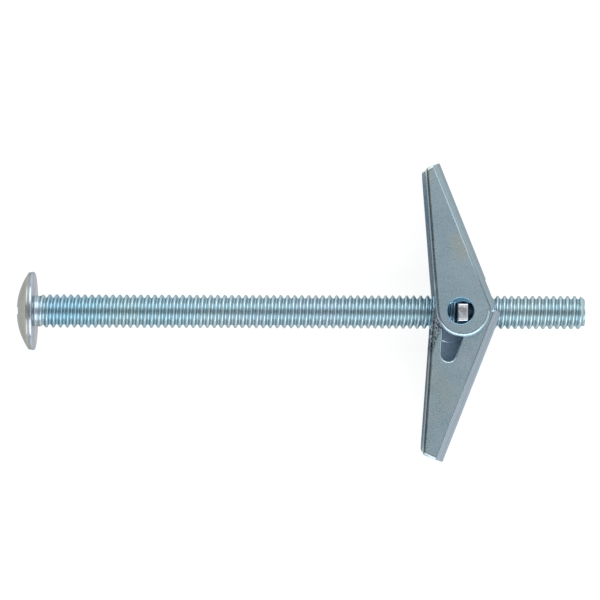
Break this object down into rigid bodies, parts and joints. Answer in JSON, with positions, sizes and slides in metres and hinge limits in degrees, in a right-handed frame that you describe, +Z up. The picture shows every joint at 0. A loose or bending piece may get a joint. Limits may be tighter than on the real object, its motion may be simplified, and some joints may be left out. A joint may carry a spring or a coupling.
{
  "type": "spring toggle bolt",
  "caption": "Truss head machine screw with a trunnion nut and folding sheet-steel wings that a wire spring holds open, lying on its side.",
  "frame": {"origin": "on the screw's axis, at the centre of the head's bearing face", "axes": "+X along the screw from the head to its tip, +Y towards the upper wing, +Z up off the surface that it lies on, along the wings' pivots"},
  "size_m": [0.1028, 0.0538, 0.0142],
  "materials": {
    "bolt_zinc": "satin",
    "nut_zinc": "satin",
    "wing_zinc": "satin",
    "spring_wire": "satin"
  },
  "bodies": {
    "bolt": {"bolt": "bolt_zinc"},
    "nut": {"trunnion_nut": "nut_zinc", "torsion_spring": "spring_wire"},
    "upper_wing": {"upper_wing": "wing_zinc"},
    "lower_wing": {"lower_wing": "wing_zinc"}
  },
  "joints": [
    {"name": "toggle_travel", "type": "slide", "parent": "bolt", "child": "nut", "axis": [1, 0, 0], "range_m": [-0.049, 0.018]},
    {"name": "upper_wing_fold", "type": "hinge", "parent": "nut", "child": "upper_wing", "pos_m": [0.07692, 0.00027, 0], "axis": [0, 0, 1], "range_deg": [0, 73.5], "stiffness_Nm_per_rad": 0.02, "springref_deg": -57.3, "deforming": ["torsion_spring"]},
    {"name": "lower_wing_fold", "type": "hinge", "parent": "nut", "child": "lower_wing", "pos_m": [0.07738, -0.00041, 0], "axis": [0, 0, -1], "range_deg": [0, 73.5], "stiffness_Nm_per_rad": 0.02, "springref_deg": -57.3, "deforming": ["torsion_spring"]}
  ]
}
